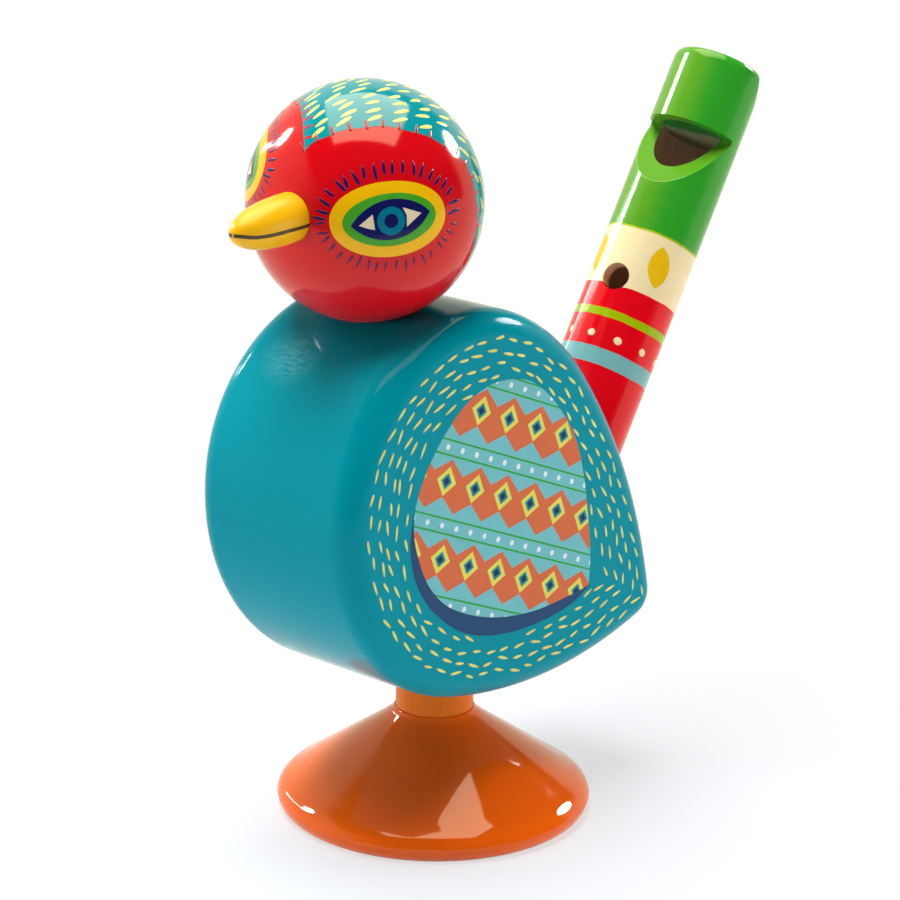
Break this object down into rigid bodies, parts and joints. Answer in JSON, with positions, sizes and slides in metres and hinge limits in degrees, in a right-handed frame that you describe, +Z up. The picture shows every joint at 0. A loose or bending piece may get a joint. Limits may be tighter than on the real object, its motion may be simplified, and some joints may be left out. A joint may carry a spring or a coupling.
{
  "type": "bird call",
  "caption": "Wooden bird-shaped whistle: ball head with peg beak, rounded teardrop body on a turned foot, bored whistle tube with window and tone hole as its tail.",
  "frame": {"origin": "centre of the foot's flat underside, on the surface that the bird stands on", "axes": "+Z up; -Y the way the bird faces; +X the bird's left side; the whistle leans back in the YZ plane"},
  "size_m": [0.0566, 0.1318, 0.134],
  "materials": {
    "foot_lacquer": "gloss lacquer",
    "leg_lacquer": "satin lacquer",
    "body_lacquer": "gloss lacquer",
    "bare_wood": "bare",
    "head_lacquer": "gloss lacquer",
    "beak_lacquer": "gloss lacquer",
    "whistle_lacquer": "gloss lacquer in painted bands",
    "block_wood": "bare, with overspray"
  },
  "bodies": {
    "root": {"foot": "foot_lacquer", "leg_dowel": "leg_lacquer", "body_block": "body_lacquer", "head_dowel": "bare_wood", "head_ball": "head_lacquer", "beak": "beak_lacquer", "whistle_tube": "whistle_lacquer", "whistle_block": "block_wood"}
  },
  "joints": []
}
